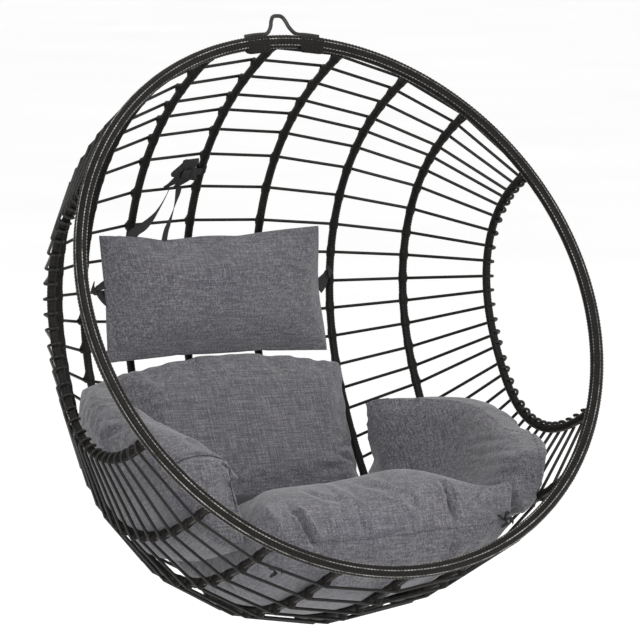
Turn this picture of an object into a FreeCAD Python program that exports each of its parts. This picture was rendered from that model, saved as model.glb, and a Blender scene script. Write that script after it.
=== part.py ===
"""Hanging egg chair: the rattan basket, its hanging loop, its seat pad and its head pillow.

The basket is designed in its own upright frame and then tilted back to the way it hangs.
Basket frame, in millimetres: the origin is the centre of the front ring, +X is to the right of
someone who faces the opening, +Y goes back into the basket and +Z runs up in the ring's plane.
Row frame: the same X axis, +Z straight up, origin where a hook bears inside the hanging loop.
"""
import FreeCAD, Part
import math
import os

from FreeCAD import Vector

# Front ring and the tilt of the whole basket
RING_RADIUS = 540.0
RING_TUBE_RADIUS = 9.5
RING_WRAP_RADIUS = 12.5
TILT_BACK_DEG = 28.0

# The bowl behind the ring: a squarish half ellipsoid that sags a little towards the bottom
BOWL_DEPTH = 1.17 * RING_RADIUS
BOWL_SIDE_POWER = 0.57
BOWL_SQUARENESS = 0.81
BOWL_SAG = 0.107 * RING_RADIUS
BOWL_SAG_POWER = 0.65

# Ribs: steel tube wound with flat rattan, each in a plane of its own across X
RIB_TUBE_RADIUS = 6.0
RIB_WRAP_RADIUS = 8.0
RIB_SPREAD = (0.0, 0.267, 0.509, 0.708, 0.887)
RIB_STEP_DEG = 9

# Strands: round rattan poles laid across the backs of the ribs, spaced by hand
STRAND_RADIUS = 3.0
STRAND_CLEARANCE = 1.4
STRAND_HOOK_DEG = 150.0
STRAND_DEGREES = (
    2.2, 5.5, 10, 15, 19, 24, 30, 37.5, 45, 52, 59, 65.5, 72, 78.5, 83.5, 87.5, 91.5, 95.5,
    101, 107, 115, 121.5, 128, 134.5, 140.5, 146.5, 152.5, 158.5, 164.5, 170.5, 176,
)

# Hanging loop: one bent steel rod with two feet that lie along the ring
LOOP_ROD_RADIUS = 3.75
LOOP_SHIFT = 14.0
LOOP_HEIGHT = 38.0
LOOP_APEX_RADIUS = 12.0
LOOP_FOOT_SPREAD = 30.0
LOOP_FOOT_END = 80.0
LOOP_WRAP_RADIUS = 17.5
LOOP_WRAP_LIFT = 4.0

# Seat pad: four cushions sewn to each other, and the pillow above them
PAD_CLEARANCE = 20.0
# Arm thickness at the back, low at the front and along the top at the front
LEFT_ARM_THICKNESS = (70.0, 165.0, 103.0)
LEFT_ARM_TOP_EDGE = (
    Vector(353, 403, 24), Vector(414, 330, -30), Vector(446, 250, -95),
    Vector(444, 176, -160), Vector(424, 112, -216), Vector(385, 62, -280),
)
RIGHT_ARM_THICKNESS = (66.0, 66.0, 66.0)
RIGHT_ARM_TOP_EDGE = (
    Vector(280, 404, -64), Vector(390, 345, -72), Vector(444, 262, -126),
    Vector(446, 180, -196), Vector(431, 112, -251), Vector(391, 58, -297),
)
PILLOW_SIZE = (486.0, 238.0)
PILLOW_CENTRE = Vector(2, 452, 216)
PILLOW_LEAN_DEG = 20.0
PILLOW_HALF_THICKNESS = 50.0
BOW_DEGREES = 33.5
BOW_SHIFT = -34.0
BOW_THICKNESS = 14.0
BOW_OUTLINE = (
    (-8, -34), (-24, -26), (-25, -6), (-9, 2), (-22, 14), (-17, 31), (-3, 24),
    (3, 34), (17, 27), (22, 8), (9, 2), (24, -8), (20, -28), (6, -33),
)
STRAP_FEET = (-156.0, -91.0)
STRAP_TOPS = (-48.0, -26.0)
RIBBON_WIDTH = 18.0
RIBBON_THICKNESS = 2.0


# ---------------------------------------------------------------- the bowl's shape

def signed_power(value, power):
    return math.copysign(abs(value) ** power, value)


def bowl_point(x, degrees, inset=0.0):
    """Point of the bowl at x, degrees round from the ring's top (0) past the back (90)."""
    spread = 1.0 - (x / RING_RADIUS) ** 2
    depth = BOWL_DEPTH * spread ** BOWL_SIDE_POWER - inset
    half_height = RING_RADIUS * math.sqrt(spread) - inset
    sag = BOWL_SAG * spread ** BOWL_SAG_POWER
    sine = math.sin(math.radians(degrees))
    cosine = math.cos(math.radians(degrees))
    y = depth * sine ** BOWL_SQUARENESS if sine > 0 else 0.0
    z = half_height * signed_power(cosine, BOWL_SQUARENESS) - sag * sine ** 2
    return Vector(x, y, z)


def rib_positions():
    """The nine rib planes' x, from the left side opening to the right one."""
    right = [RING_RADIUS * fraction for fraction in RIB_SPREAD[1:]]
    return [-x for x in reversed(right)] + [0.0] + right


# ---------------------------------------------------------------- paths and sweeps

def rounded_path(points):
    """Straight runs joined by tangent arcs, each as large as the shorter of its two runs allows."""
    edges = []
    start = points[0]
    for before, corner, after in zip(points, points[1:], points[2:]):
        reach = 0.45 * min((corner - before).Length, (after - corner).Length)
        back = (before - corner).normalize()
        ahead = (after - corner).normalize()
        half_turn = (math.pi - back.getAngle(ahead)) / 2
        inward = (back + ahead).normalize()
        radius = reach / math.tan(half_turn)
        enter = corner + back * reach
        leave = corner + ahead * reach
        middle = corner + inward * (radius / math.cos(half_turn) - radius)
        edges.append(Part.LineSegment(start, enter).toShape())
        edges.append(Part.Arc(enter, middle, leave).toShape())
        start = leave
    edges.append(Part.LineSegment(start, points[-1]).toShape())
    return Part.Wire(edges)


def sweep(path, radius):
    """A round rod along a path."""
    first = path.OrderedEdges[0]
    start = first.valueAt(first.FirstParameter)
    heading = first.tangentAt(first.FirstParameter)
    disc = Part.Face(Part.Wire(Part.makeCircle(radius, start, heading)))
    return path.makePipe(disc).Solids[0]


def ring_solid(radius):
    return Part.makeTorus(RING_RADIUS, radius, Vector(0, 0, 0), Vector(0, 1, 0))


# ---------------------------------------------------------------- frame

def rib_path(x):
    steps = range(0, 180 + RIB_STEP_DEG, RIB_STEP_DEG)
    return rounded_path([bowl_point(x, degrees) for degrees in steps])


def rib_tube(x):
    """A bent steel tube, saddled at both ends onto the ring's tube."""
    return sweep(rib_path(x), RIB_TUBE_RADIUS).cut(ring_solid(RING_TUBE_RADIUS))


def rib_wrap(x):
    """The rattan wound round a rib, from the ring's winding at the top to that at the bottom."""
    path = rib_path(x)
    wound = sweep(path, RIB_WRAP_RADIUS).cut(ring_solid(RING_WRAP_RADIUS))
    return wound.cut(sweep(path, RIB_TUBE_RADIUS))


def ring_wrap(tubes):
    """The rattan wound round the ring, open where each rib's tube passes to its weld."""
    wrap = ring_solid(RING_WRAP_RADIUS).cut(ring_solid(RING_TUBE_RADIUS))
    for tube in tubes:
        wrap = wrap.cut(tube)
    return wrap


def strand_plane(degrees):
    """A strand lies flat in a plane along X: its middle and its in-plane axis away from X."""
    middle = bowl_point(0.0, degrees)
    side = bowl_point(RIB_SPREAD[-1] * RING_RADIUS, degrees)
    outward = Vector(0, middle.y - side.y, middle.z - side.z).normalize()
    return Vector(0, middle.y, middle.z), outward


def rib_reach(x, degrees):
    """How far out in a strand's plane the rib at x stands."""
    middle, outward = strand_plane(degrees)
    across = Vector(0, -outward.z, outward.y)
    low, high = degrees - 8.0, degrees + 8.0
    low, high = max(low, 0.0), min(high, 180.0)
    side_low = (bowl_point(x, low) - middle).dot(across)
    for _ in range(40):
        guess = (low + high) / 2
        side = (bowl_point(x, guess) - middle).dot(across)
        if side * side_low > 0:
            low = guess
        else:
            high = guess
    return (bowl_point(x, guess) - middle).dot(outward)


def strand_path(degrees):
    """A strand pulled over the backs of the ribs like a belt over pulleys, hooked at both ends."""
    middle, outward = strand_plane(degrees)
    bend = RIB_WRAP_RADIUS + STRAND_RADIUS + STRAND_CLEARANCE

    def place(x, reach):
        return Vector(x, 0, 0) + middle + outward * reach

    centres = [(x, rib_reach(x, degrees)) for x in rib_positions()]
    headings = [
        math.atan2(after[1] - before[1], after[0] - before[0])
        for before, after in zip(centres, centres[1:])
    ]
    hook = math.radians(STRAND_HOOK_DEG)
    headings = [headings[0] + hook] + headings + [headings[-1] - hook]
    edges = []
    last = None
    for (x, reach), enter, leave in zip(centres, headings, headings[1:]):
        arc = [
            place(x - bend * math.sin(angle), reach + bend * math.cos(angle))
            for angle in (enter, (enter + leave) / 2, leave)
        ]
        if last is not None:
            edges.append(Part.LineSegment(last, arc[0]).toShape())
        edges.append(Part.Arc(*arc).toShape())
        last = arc[2]
    return Part.Wire(edges)


# ---------------------------------------------------------------- hanging loop

def on_ring(x, lift):
    """Point at x, lifted from the ring's centre line along its radius."""
    radius = RING_RADIUS + lift
    return Vector(x, 0, math.sqrt(radius ** 2 - x ** 2))


def loop_bearing_z():
    """Height of the underside of the loop's top, where a hook bears."""
    return RING_RADIUS + RING_WRAP_RADIUS + LOOP_HEIGHT


def hanging_loop():
    """One bent rod: a foot along the ring, up a leg, over the apex and down to the other foot."""
    lift = RING_WRAP_RADIUS + LOOP_ROD_RADIUS + 0.1
    top = loop_bearing_z() + LOOP_ROD_RADIUS
    right = [
        Vector(0.8 * LOOP_APEX_RADIUS, 0, top),
        Vector(1.35 * LOOP_APEX_RADIUS, 0, top - LOOP_APEX_RADIUS),
        Vector(1.6 * LOOP_APEX_RADIUS, 0, top - 1.9 * LOOP_APEX_RADIUS),
        on_ring(LOOP_FOOT_SPREAD, lift),
        on_ring((LOOP_FOOT_SPREAD + LOOP_FOOT_END) / 2, lift + 0.8),
        on_ring(LOOP_FOOT_END, lift),
    ]
    left = [Vector(-point.x, 0, point.z) for point in reversed(right)]
    loop = sweep(rounded_path(left + right), LOOP_ROD_RADIUS)
    return turn_along_ring(loop, LOOP_SHIFT)


def turn_along_ring(shape, distance):
    """Slide a shape along the ring from its top towards the right."""
    turned = shape.copy()
    turned.rotate(Vector(), Vector(0, 1, 0), math.degrees(distance / RING_RADIUS))
    return turned


def loop_wraps(loop):
    """The thicker winding that binds each foot of the loop to the ring."""
    radius = RING_RADIUS + LOOP_WRAP_LIFT
    span = math.degrees((LOOP_FOOT_END - LOOP_FOOT_SPREAD) / radius)
    wraps = []
    for side in (-1, 1):
        sleeve = Part.makeTorus(radius, LOOP_WRAP_RADIUS, Vector(), Vector(0, 1, 0), 0, 360, span)
        middle = sleeve.CenterOfMass
        sleeve.rotate(Vector(), Vector(0, 1, 0), math.degrees(math.atan2(-middle.x, middle.z)))
        sleeve = turn_along_ring(sleeve, LOOP_SHIFT + side * (LOOP_FOOT_SPREAD + LOOP_FOOT_END + 8) / 2)
        wraps.append(sleeve.cut(ring_solid(RING_WRAP_RADIUS)).cut(loop))
    return Part.makeCompound(wraps)


# ---------------------------------------------------------------- cushions

def soft_solid(back, front):
    """A closed cushion between two grids of points that have the same rows and columns."""
    faces = []
    borders = []
    for grid in (back, front):
        surface = Part.BSplineSurface()
        surface.interpolate(grid)
        faces.append(surface.toShape())
        u_first, u_last, v_first, v_last = surface.bounds()
        borders.append([
            surface.uIso(u_first).toShape(),
            surface.uIso(u_last).toShape(),
            surface.vIso(v_first).toShape(),
            surface.vIso(v_last).toShape(),
        ])
    for edge_back, edge_front in zip(*borders):
        faces.append(Part.makeRuledSurface(edge_back, edge_front))
    shell = Part.makeShell(faces)
    shell.sewShape()
    solid = Part.makeSolid(shell)
    if solid.Volume < 0:
        solid.reverse()
    return solid


def blend(start, end, part):
    return start + (end - start) * part


def grid_of(point_at, columns=6, rows=6):
    return [
        [point_at(column / (columns - 1), row / (rows - 1)) for row in range(rows)]
        for column in range(columns)
    ]


def back_cushion():
    """Leans on the back of the bowl, flatter in front than behind."""
    def behind(across, down):
        half_width = blend(258, 226, down)
        x = blend(-half_width, half_width, across)
        point = bowl_point(x, blend(79, 106, down), PAD_CLEARANCE + 6)
        return Vector(x, min(point.y, 572), point.z)

    def front(across, down):
        rear = behind(across, down)
        side = 2 * across - 1
        crown = 16 * (1 - side ** 2) * math.sin(math.pi * blend(0.15, 0.85, down))
        y = blend(460, 452, down) - 14 * side ** 2 - crown
        return Vector(rear.x, y, blend(93 - 42 * side ** 2, -226, down))

    return soft_solid(grid_of(behind), grid_of(front))


def seat_cushion():
    """Fills the bottom of the bowl and rises to a thick roll behind the ring."""
    roll_start = 0.76

    def below(across, ahead):
        x = blend(blend(-228, -254, ahead), blend(232, 294, ahead), across)
        return bowl_point(x, blend(109.5, 175.5, ahead), PAD_CLEARANCE)

    def above(across, ahead):
        rear = below(across, ahead)
        side = 2 * across - 1
        droop = (26 * side ** 4 + 62 * ahead * max(side, 0) ** 3
                 + 14 * math.exp(-((side + 0.35) / 0.6) ** 2))
        top = blend(-252, -308, min(ahead / roll_start, 1)) - droop
        fall = (max(ahead - roll_start, 0) / (1 - roll_start)) ** 2
        return Vector(0.98 * rear.x, blend(446, 30, ahead), blend(top, rear.z + 66, fall))

    return soft_solid(grid_of(below, rows=9), grid_of(above, rows=9))


def arm_cushion(side):
    """Lines one side of the bowl, from the back cushion to just behind the ring."""
    corners = RIGHT_ARM_TOP_EDGE if side > 0 else LEFT_ARM_TOP_EDGE
    back, front_low, front_top = RIGHT_ARM_THICKNESS if side > 0 else LEFT_ARM_THICKNESS
    top_edge = Part.BSplineCurve()
    top_edge.interpolate(list(corners))
    seat_side_front = 320 if side > 0 else 272
    first_turn = 100 if side > 0 else 93

    def outer(up, ahead):
        turn = blend(first_turn, 173, ahead)
        bottom = bowl_point(blend(268, seat_side_front, ahead), turn, PAD_CLEARANCE + 2)
        top = top_edge.value(top_edge.parameterAtDistance(ahead * top_edge.length()))
        middle_turn = turn - 1 - 11 * math.sin(math.pi * ahead)
        middle = bowl_point(1.04 * (bottom.x + top.x) / 2, middle_turn, PAD_CLEARANCE + 2)
        return (bottom * ((1 - up) * (1 - 2 * up)) + middle * (4 * up * (1 - up))
                + top * (up * (2 * up - 1)))

    def inner(up, ahead):
        turn = math.pi / 2 * ahead
        at_bottom = Vector(-0.05, -0.9 * math.cos(turn), 0.95 * math.sin(turn))
        at_top = Vector(-0.85, -0.5 * math.cos(turn), 0.1 * math.sin(turn))
        inward = at_bottom * (1 - up) + at_top * up
        thickness = blend(back, front_low, ahead ** 1.5) + (front_top - front_low) * up * ahead ** 3
        return outer(up, ahead) + inward.normalize() * thickness

    def mirrored(wall):
        def point_at(up, ahead):
            point = wall(up, ahead)
            return Vector(side * point.x, point.y, point.z)
        return grid_of(point_at, rows=8)

    return soft_solid(mirrored(outer), mirrored(inner))


def pillow_frame():
    """The pillow's own axes: across, up along its face, and out of its front."""
    lean = math.radians(PILLOW_LEAN_DEG)
    return Vector(1, 0, 0), Vector(0, -math.sin(lean), math.cos(lean)), \
        Vector(0, -math.cos(lean), -math.sin(lean))


def head_pillow():
    """A rectangular pillow, full in the middle and thin along its four edges."""
    across_axis, up_axis, out_axis = pillow_frame()
    width, height = PILLOW_SIZE

    def face(sign):
        def point_at(across, up):
            u, v = 2 * across - 1, 2 * up - 1
            fullness = (1 - u ** 4) * (1 - v ** 4)
            out = sign * (3 + (PILLOW_HALF_THICKNESS - 3) * fullness ** 0.6)
            waist = 1 - 0.05 * (1 - v ** 2)
            return (PILLOW_CENTRE + across_axis * (u * waist * width / 2)
                    + up_axis * (v * height / 2) + out_axis * out)
        return grid_of(point_at, 9, 7)

    return soft_solid(face(-1), face(1))


# ---------------------------------------------------------------- ribbons

def strip(start, end, facing):
    """A flat ribbon from start to end, its flat side facing the given way."""
    along = end - start
    across = along.cross(facing).normalize() * RIBBON_WIDTH
    thick = across.cross(along).normalize() * RIBBON_THICKNESS
    corner = start - across * 0.5
    outline = Part.makePolygon([corner, corner + across, corner + across + along,
                                corner + along, corner])
    return Part.Face(outline).extrude(thick)


def bow_frame():
    """Where the bow meets the middle rib, the way down along the rib, and the way in from it."""
    above = bowl_point(0.0, BOW_DEGREES - 1)
    below = bowl_point(0.0, BOW_DEGREES + 1)
    down = (below - above).normalize()
    inward = Vector(0, down.z, -down.y)
    return bowl_point(0.0, BOW_DEGREES) + inward * (RIB_WRAP_RADIUS + 4.5), down, inward


def pillow_bow():
    """The ribbon's bow: two loops and two ends drawn into one flat bunch under the middle rib."""
    origin, down, inward = bow_frame()
    corners = [origin + Vector(BOW_SHIFT + x, 0, 0) - down * up for x, up in BOW_OUTLINE]
    outline = Part.makePolygon(corners + corners[:1])
    return Part.Face(outline).extrude(inward * BOW_THICKNESS)


def strap_top():
    """Height and depth of the straps' top ends, just clear of the bow: the pillow swings here."""
    origin, down, inward = bow_frame()
    return origin + down * 42 + inward * (BOW_THICKNESS / 2)


def pillow_ties():
    """Two straps from the bow to the pillow's top edge and a short tie at each of its ends."""
    across_axis, up_axis, out_axis = pillow_frame()
    width, height = PILLOW_SIZE
    top = PILLOW_CENTRE + up_axis * (height / 2 + 1.5)
    ties = []
    for x_top, x_foot in zip(STRAP_TOPS, STRAP_FEET):
        start = Vector(x_top, 0, 0) + strap_top()
        end = Vector(x_foot, top.y, top.z + 9)
        ties.append(strip(start, end, Vector(0, -1, 0)))
    for side in (-1, 1):
        start = PILLOW_CENTRE + across_axis * side * (width * 0.475 + 12)
        ties.append(strip(start, start + Vector(side * 12, -6, 34), out_axis))
    return Part.makeCompound(ties)


# ---------------------------------------------------------------- assembly

def build_parts():
    parts = {"ring_tube": ring_solid(RING_TUBE_RADIUS)}
    tubes = [rib_tube(x) for x in rib_positions()]
    parts["ring_wrap"] = ring_wrap(tubes)
    for number, (x, tube) in enumerate(zip(rib_positions(), tubes), start=1):
        parts[f"rib_tube_{number}"] = tube
        parts[f"rib_wrap_{number}"] = rib_wrap(x)
    for number, degrees in enumerate(STRAND_DEGREES, start=1):
        parts[f"strand_{number:02d}"] = sweep(strand_path(degrees), STRAND_RADIUS)
    parts["hanging_loop"] = hanging_loop()
    parts["loop_wraps"] = loop_wraps(parts["hanging_loop"])
    parts["back_cushion"] = back_cushion()
    parts["seat_cushion"] = seat_cushion()
    parts["arm_cushion_left"] = arm_cushion(-1)
    parts["arm_cushion_right"] = arm_cushion(1)
    parts["head_pillow"] = head_pillow()
    parts["pillow_bow"] = pillow_bow()
    parts["pillow_ties"] = pillow_ties()
    return parts


def hang(shape):
    """Move a shape from the basket's frame to the row's: loop to the origin, then tilt back."""
    turn = LOOP_SHIFT / RING_RADIUS
    bearing = Vector(math.sin(turn), 0, math.cos(turn)) * loop_bearing_z()
    placed = shape.copy()
    placed.translate(-bearing)
    placed.rotate(Vector(), Vector(1, 0, 0), -TILT_BACK_DEG)
    return placed


def main():
    os.makedirs("parts", exist_ok=True)
    for name, shape in build_parts().items():
        placed = hang(shape)
        placed.exportStep(f"parts/{name}.step")
        print(f"{name}: valid {placed.isValid()}, solids {len(placed.Solids)}, "
              f"volume {placed.Volume / 1000:.1f} cm3")


main()
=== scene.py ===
"""Looks of the hanging egg chair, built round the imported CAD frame.

Basket space, in metres, is the one that the basket is designed in: the origin is the centre of the
front ring, +X is right for someone who faces the opening, +Y goes back into the basket and +Z runs
up in the ring's plane. hang() takes basket space to the row frame, where every piece is made.
"""
import bmesh
import bpy
import math
import numpy as np

from mathutils import Matrix, Vector, noise
from mathutils.bvhtree import BVHTree


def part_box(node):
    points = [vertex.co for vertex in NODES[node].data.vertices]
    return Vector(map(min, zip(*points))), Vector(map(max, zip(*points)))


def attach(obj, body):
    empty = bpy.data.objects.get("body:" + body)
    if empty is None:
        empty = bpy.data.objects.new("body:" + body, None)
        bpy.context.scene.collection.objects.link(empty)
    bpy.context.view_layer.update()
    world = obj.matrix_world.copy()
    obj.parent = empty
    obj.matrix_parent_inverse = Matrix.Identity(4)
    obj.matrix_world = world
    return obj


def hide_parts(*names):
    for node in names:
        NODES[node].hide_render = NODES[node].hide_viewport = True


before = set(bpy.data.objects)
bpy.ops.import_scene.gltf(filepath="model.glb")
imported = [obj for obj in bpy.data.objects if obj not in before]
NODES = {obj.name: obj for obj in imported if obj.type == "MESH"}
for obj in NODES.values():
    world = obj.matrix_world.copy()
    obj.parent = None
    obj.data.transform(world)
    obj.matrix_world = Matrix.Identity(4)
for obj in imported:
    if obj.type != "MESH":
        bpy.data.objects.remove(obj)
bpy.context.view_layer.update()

# Basket
RING_RADIUS = 0.540
RING_WRAP_RADIUS = 0.0125
TILT_BACK = math.radians(28)
BOWL_DEPTH = 1.17 * RING_RADIUS
BOWL_SIDE_POWER = 0.57
BOWL_SQUARENESS = 0.81
BOWL_SAG = 0.107 * RING_RADIUS
BOWL_SAG_POWER = 0.65
RIB_WRAP_RADIUS = 0.008
RIB_COUNT = 9
RIB_STEP_DEG = 9
STRAND_RADIUS = 0.003
STRAND_OFFSET = RIB_WRAP_RADIUS + STRAND_RADIUS + 0.0014
STRAND_COUNT = 31

# Hanging loop
LOOP_SHIFT = 0.014
LOOP_HEIGHT = 0.038
LOOP_FOOT_SPREAD = 0.030
LOOP_FOOT_END = 0.080
LOOP_ROD_RADIUS = 0.00375
BEARING_RADIUS = RING_RADIUS + RING_WRAP_RADIUS + LOOP_HEIGHT

# Flat rattan windings
RING_TURN = 0.0070
RIB_TURN = 0.0062
TURN_ROWS = 5
TURN_RIDGE = 0.0005
CORD_RADIUS = 0.0011
RING_CORD_DEGREES = (35, 95, 155, 215, 275, 335)
RIB_CORD_DEGREES = (145, 215)

# Pillow
PILLOW_CUT = (0.530, 0.272)
PILLOW_SIZE = (0.494, 0.250)
PILLOW_CENTRE = Vector((0.000, 0.452, 0.213))
PILLOW_LEAN = math.radians(20)
PILLOW_DEPTH = 0.092
PILLOW_PULL = 0.16

# Where the chair is looked at from, in the row frame
EYE = Vector((-4.921, -8.619, 0.391))


# ---------------------------------------------------------------- spaces

def hang_matrix():
    turn = LOOP_SHIFT / RING_RADIUS
    bearing = Vector((math.sin(turn), 0, math.cos(turn))) * BEARING_RADIUS
    return Matrix.Rotation(-TILT_BACK, 4, "X") @ Matrix.Translation(-bearing)


HANG = hang_matrix()
HANG_TURN = np.array(HANG.to_3x3())
HANG_SHIFT = np.array(HANG.translation)


def hang(points):
    """Basket space to the row frame, for an array of points."""
    return np.asarray(points, float) @ HANG_TURN.T + HANG_SHIFT


def unhang(points):
    """Row frame to basket space, for an array of points."""
    return (np.asarray(points, float) - HANG_SHIFT) @ HANG_TURN


def signed_power(value, power):
    return math.copysign(abs(value) ** power, value)


def bowl_point(x, degrees, inset=0.0):
    """Point of the bowl at x, degrees round from the ring's top (0) past the back (90)."""
    spread = 1.0 - (x / RING_RADIUS) ** 2
    depth = BOWL_DEPTH * spread ** BOWL_SIDE_POWER - inset
    half_height = RING_RADIUS * math.sqrt(spread) - inset
    sag = BOWL_SAG * spread ** BOWL_SAG_POWER
    sine = math.sin(math.radians(degrees))
    cosine = math.cos(math.radians(degrees))
    y = depth * sine ** BOWL_SQUARENESS if sine > 0 else 0.0
    z = half_height * signed_power(cosine, BOWL_SQUARENESS) - sag * sine ** 2
    return Vector((x, y, z))


def node_centre(node):
    """The middle of a CAD node's box, in basket millimetres."""
    low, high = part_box(node)
    return unhang((np.array(low) + np.array(high)) / 2) * 1000


def rib_positions():
    """The ribs' places across the basket, from the left, read from their CAD nodes."""
    return [round(node_centre(f"rib_wrap_{number}")[0] / 1000, 5) for number in range(1, RIB_COUNT + 1)]


RIBS = rib_positions()


def strand_middle(degrees):
    """The bowl's point at the middle rib, and the in-plane axis of a strand there, away from X."""
    middle = bowl_point(0.0, degrees)
    side = bowl_point(RIBS[-1], degrees)
    outward = Vector((0, middle.y - side.y, middle.z - side.z)).normalized()
    return Vector((0, middle.y, middle.z)), outward


def strand_degrees():
    """Each strand's degrees round the middle rib, read from the middle of its CAD node."""
    turns = np.arange(0.5, 179.5, 0.05)
    track = []
    for degrees in turns:
        middle, outward = strand_middle(degrees)
        track.append(middle + outward * STRAND_OFFSET)
    found = []
    for number in range(1, STRAND_COUNT + 1):
        node = NODES[f"strand_{number:02d}"]
        places = unhang(np.array([node.matrix_world @ vertex.co for vertex in node.data.vertices]))
        near = places[np.abs(places[:, 0]) < 0.012]
        centre = (near.min(axis=0) + near.max(axis=0)) / 2
        found.append(turns[np.linalg.norm((np.array(track) - centre)[:, 1:], axis=1).argmin()])
    return found


# ---------------------------------------------------------------- mesh building

def add_piece(name, vertices, faces, material, body="basket", smooth=True, slot=None):
    """A mesh object of points in the row frame, riding on a body."""
    mesh = bpy.data.meshes.new(name)
    mesh.from_pydata([tuple(v) for v in vertices], [], faces)
    mesh.validate()
    mesh.polygons.foreach_set("use_smooth", [smooth] * len(mesh.polygons))
    mesh.materials.append(material)
    piece = bpy.data.objects.new(name, mesh)
    bpy.context.scene.collection.objects.link(piece)
    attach(piece, body)
    return piece


def join_meshes(parts):
    """Several (vertices, faces) pairs as one."""
    vertices = []
    faces = []
    for part_vertices, part_faces in parts:
        start = len(vertices)
        vertices.extend(part_vertices)
        faces.extend([tuple(start + index for index in face) for face in part_faces])
    return vertices, faces


class PlanarPath:
    """A smooth line in one plane: place, outward normal and fixed plane normal at any length."""

    def __init__(self, points, plane_normal, closed=False):
        self.points = np.array(points, float)
        self.side = np.array(plane_normal, float)
        self.closed = closed
        steps = np.diff(self.points, axis=0)
        self.lengths = np.concatenate([[0], np.cumsum(np.linalg.norm(steps, axis=1))])
        self.length = self.lengths[-1]

    def at(self, s):
        s = np.mod(s, self.length) if self.closed else np.clip(s, 0, self.length)
        return np.stack([np.interp(s, self.lengths, self.points[:, k]) for k in range(3)], -1)

    def frames(self, s):
        """Places, tangents and outward normals at lengths s."""
        small = 0.004
        if self.closed:
            ahead, behind = self.at(s + small), self.at(s - small)
        else:
            ahead = self.at(np.minimum(s + small, self.length))
            behind = self.at(np.maximum(s - small, 0))
        tangent = ahead - behind
        tangent /= np.linalg.norm(tangent, axis=-1, keepdims=True)
        outward = np.cross(tangent, self.side)
        outward /= np.linalg.norm(outward, axis=-1, keepdims=True)
        return self.at(s), tangent, outward


def ring_path(radius):
    """Once round the ring from its top, clockwise for someone who faces the opening."""
    turns = np.linspace(0, 2 * math.pi, 721)
    points = np.stack([radius * np.sin(turns), 0 * turns, radius * np.cos(turns)], -1)
    return PlanarPath(points, (0, -1, 0), closed=True)


def rounded(corners, samples=12):
    """The quadratic spline that touches the middle of each run between the corners."""
    line = [corners[0]]
    for before, corner, after in zip(corners, corners[1:], corners[2:]):
        start = (before + corner) / 2
        end = (corner + after) / 2
        for k in range(samples):
            t = k / samples
            line.append((1 - t) ** 2 * start + 2 * t * (1 - t) * corner + t * t * end)
    line.append((corners[-2] + corners[-1]) / 2)
    line.append(corners[-1])
    return line


def rib_path(x):
    steps = range(0, 180 + RIB_STEP_DEG, RIB_STEP_DEG)
    corners = [np.array(bowl_point(x, degrees)) for degrees in steps]
    return PlanarPath(rounded(corners), (1, 0, 0))


def wound_tube(path, radius, turn, columns, swell=None):
    """A tube wound with flat rattan: one ridge per turn, running round as a real screw thread.

    Each row of points climbs by one turn's length as it goes round, so the grooves stay clean.
    swell(s, angle) is what is added to the radius."""
    step = turn / TURN_ROWS
    if path.closed:
        rows = TURN_ROWS * round(path.length / turn)
        step = path.length / rows
    else:
        rows = int(path.length / step) - TURN_ROWS
    row, column = np.meshgrid(np.arange(rows), np.arange(columns), indexing="ij")
    s = (row + TURN_ROWS * column / columns) * step
    angle = 2 * math.pi * column / columns
    ridge = 1 - np.abs(2 * ((row % TURN_ROWS) / TURN_ROWS) - 1) ** 3
    ridge = np.where(row % TURN_ROWS == 0, 0.0, np.maximum(ridge, 0.75))
    reach = radius - TURN_RIDGE + TURN_RIDGE * ridge
    if swell is not None:
        reach = reach + swell(s, angle)
    if not path.closed:
        ends = np.minimum(s, (rows - 1 + TURN_ROWS) * step - s)
        reach = np.where(ends <= (TURN_ROWS + 0.5) * step, 0.0002, reach)
    place, _, outward = path.frames(s)
    vertices = place + outward * (reach * np.cos(angle))[..., None] \
        + path.side * (reach * np.sin(angle))[..., None]
    faces = []
    last_row = rows if path.closed else rows - 1
    for i in range(last_row):
        for j in range(columns):
            i_next, j_next = i, j + 1
            if j_next == columns:
                i_next, j_next = i + TURN_ROWS, 0
            if not path.closed and i_next + 1 > rows - 1:
                continue
            a = i * columns + j
            b = ((i + 1) % rows) * columns + j
            c = ((i_next + 1) % rows) * columns + j_next
            d = (i_next % rows) * columns + j_next
            faces.append((a, d, c, b))
    return hang(vertices.reshape(-1, 3)), faces


def weaver_cord(path, radius, turn, degrees, start=0.0, end=0.0, rise=0.0011):
    """A thin lengthwise cord that passes over every turn of a winding and dips under its edge."""
    per_turn = 4
    sides = 5
    if path.closed:
        count = per_turn * round(path.length / turn)
        s = np.arange(count) * path.length / count
    else:
        count = int((path.length - start - end) / turn) * per_turn
        s = start + np.arange(count) * turn / per_turn
    angle = math.radians(degrees)
    place, tangent, outward = path.frames(s)
    radial = outward * math.cos(angle) + path.side * math.sin(angle)
    around = np.cross(tangent, radial)
    height = radius - CORD_RADIUS + rise * (0.5 + 0.5 * np.cos(2 * math.pi * np.arange(count) / per_turn))
    centre = place + radial * height[:, None]
    turns = 2 * math.pi * np.arange(sides) / sides
    vertices = centre[:, None, :] + CORD_RADIUS * (
        radial[:, None, :] * np.cos(turns)[None, :, None] * 0.8
        + around[:, None, :] * np.sin(turns)[None, :, None])
    faces = []
    for i in range(count if path.closed else count - 1):
        for j in range(sides):
            k = (j + 1) % sides
            n = (i + 1) % count
            faces.append((i * sides + j, i * sides + k, n * sides + k, n * sides + j))
    if not path.closed:
        faces.append(tuple(range(sides)))
        faces.append(tuple(reversed(range((count - 1) * sides, count * sides))))
    return hang(vertices.reshape(-1, 3)), faces


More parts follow.
